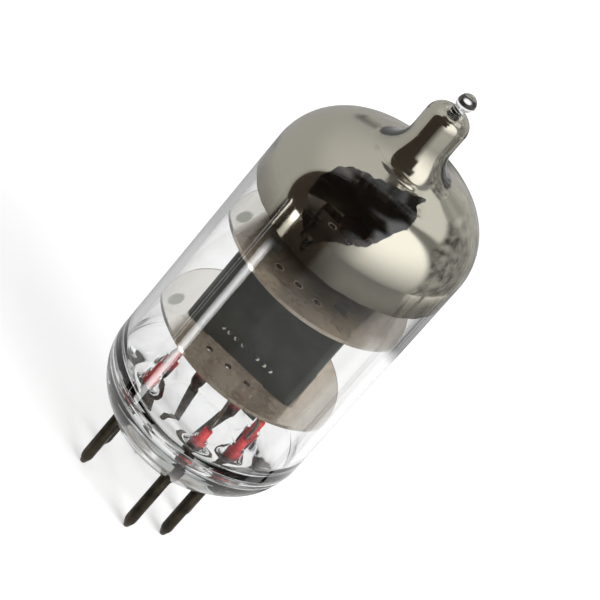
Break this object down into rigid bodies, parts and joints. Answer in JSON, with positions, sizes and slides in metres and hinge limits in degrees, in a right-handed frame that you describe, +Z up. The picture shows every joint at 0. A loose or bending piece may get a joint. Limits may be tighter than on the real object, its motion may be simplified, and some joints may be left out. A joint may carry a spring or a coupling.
{
  "type": "miniature pentode vacuum tube",
  "caption": "Miniature all-glass receiving pentode with pin base, mica-held electrode cage, silvery getter dome and sealed exhaust tip.",
  "frame": {"origin": "centre of the ring of base pins, in the plane of the pin tips that the tube stands on", "axes": "+Z up along the bulb to the sealed exhaust tip, -Y towards the gap in the ring of pins, +X through pin 2"},
  "size_m": [0.0182, 0.0182, 0.0471],
  "materials": {
    "glass": "clear soda-lime glass, blown and flame sealed",
    "pin_metal": "dark oxidised nickel-iron pins",
    "dumet": "copper clad sealing wire, red under glass",
    "nickel_wire": "drawn nickel wire and strip, dulled by firing",
    "grid_wire": "fine molybdenum grid wire",
    "gilt_wire": "gold plated molybdenum grid wire",
    "anode_sheet": "matte dark grey carbon coat on nickel sheet",
    "mica": "split mica sheet, translucent brown, glossy",
    "oxide_coat": "white sprayed oxide coat",
    "getter_film": "flashed barium film, dark silvery mirror",
    "getter_residue": "spent getter powder, dark red-brown"
  },
  "bodies": {
    "root": {"anode_back": "anode_sheet", "anode_front": "anode_sheet", "base_pin_1": "pin_metal", "base_pin_2": "pin_metal", "base_pin_3": "pin_metal", "base_pin_4": "pin_metal", "base_pin_5": "pin_metal", "base_pin_6": "pin_metal", "base_pin_7": "pin_metal", "cathode_sleeve": "oxide_coat", "cathode_tab": "nickel_wire", "control_rod_left": "nickel_wire", "control_rod_right": "nickel_wire", "control_winding": "gilt_wire", "getter_cup": "nickel_wire", "getter_fill": "getter_residue", "getter_film": "getter_film", "getter_strap": "nickel_wire", "glass_base": "glass", "glass_bulb": "glass", "heater": "oxide_coat", "lead_1": "nickel_wire", "lead_2": "nickel_wire", "lead_3": "nickel_wire", "lead_4": "nickel_wire", "lead_5": "nickel_wire", "lead_6": "nickel_wire", "lead_7": "nickel_wire", "lower_mica": "mica", "screen_rod_left": "nickel_wire", "screen_rod_right": "nickel_wire", "screen_winding": "grid_wire", "seal_wire_1": "dumet", "seal_wire_2": "dumet", "seal_wire_3": "dumet", "seal_wire_4": "dumet", "seal_wire_5": "dumet", "seal_wire_6": "dumet", "seal_wire_7": "dumet", "suppressor_rod_left": "nickel_wire", "suppressor_rod_right": "nickel_wire", "suppressor_winding": "grid_wire", "upper_mica": "mica"}
  },
  "joints": []
}
